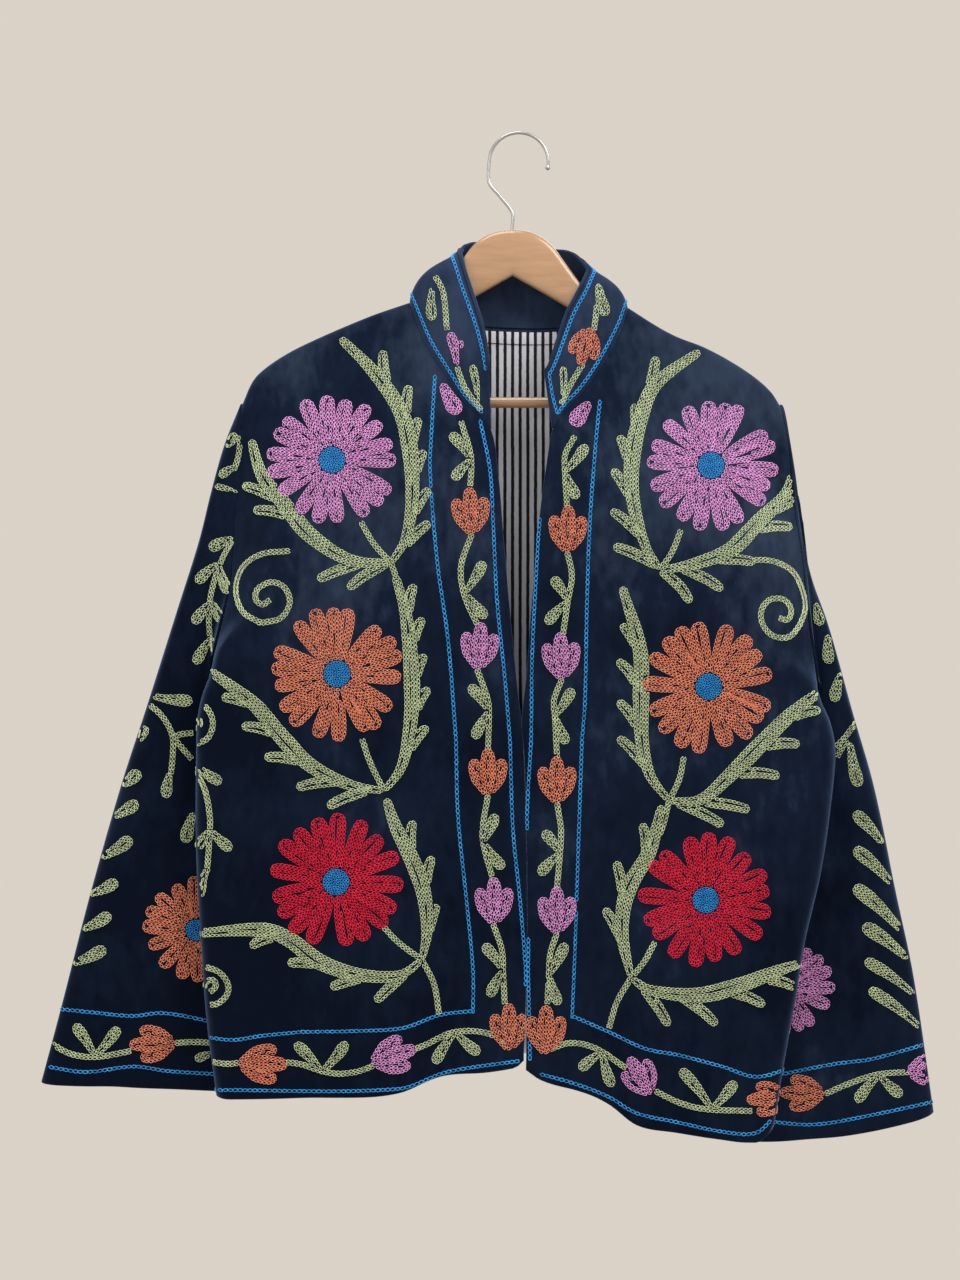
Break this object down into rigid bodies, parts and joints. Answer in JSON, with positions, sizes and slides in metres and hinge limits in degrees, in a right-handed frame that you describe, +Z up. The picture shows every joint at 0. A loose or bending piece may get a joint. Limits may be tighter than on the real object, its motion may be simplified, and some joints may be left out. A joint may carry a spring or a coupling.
{
  "type": "embroidered velvet jacket on a hanger",
  "caption": "Open-fronted velvet jacket with a stand collar, wide sleeves and allover floral embroidery, hanging on a wooden hanger.",
  "frame": {"origin": "inside top of the hanger's hook, where a rail or a wall hook holds it", "axes": "+Z up along the hanging jacket, the jacket's front faces -Y, +X towards the wearer's left sleeve"},
  "size_m": [0.7703, 0.0825, 0.8704],
  "materials": {
    "velvet": "deep navy cotton velvet with a soft mottled pile, embroidered",
    "collar_velvet": "navy cotton velvet, inside and outside",
    "striped_lining": "cotton with black and white vertical stripes",
    "lacquered_wood": "glossy clear lacquer",
    "chrome_wire": "bright"
  },
  "bodies": {
    "root": {"front_right": "velvet", "front_left": "velvet", "back": "velvet", "back_lining": "striped_lining", "collar": "collar_velvet", "sleeve_right": "velvet", "sleeve_left": "velvet", "hanger_arms": "lacquered_wood", "hanger_bar": "lacquered_wood", "hanger_hook": "chrome_wire"}
  },
  "joints": []
}
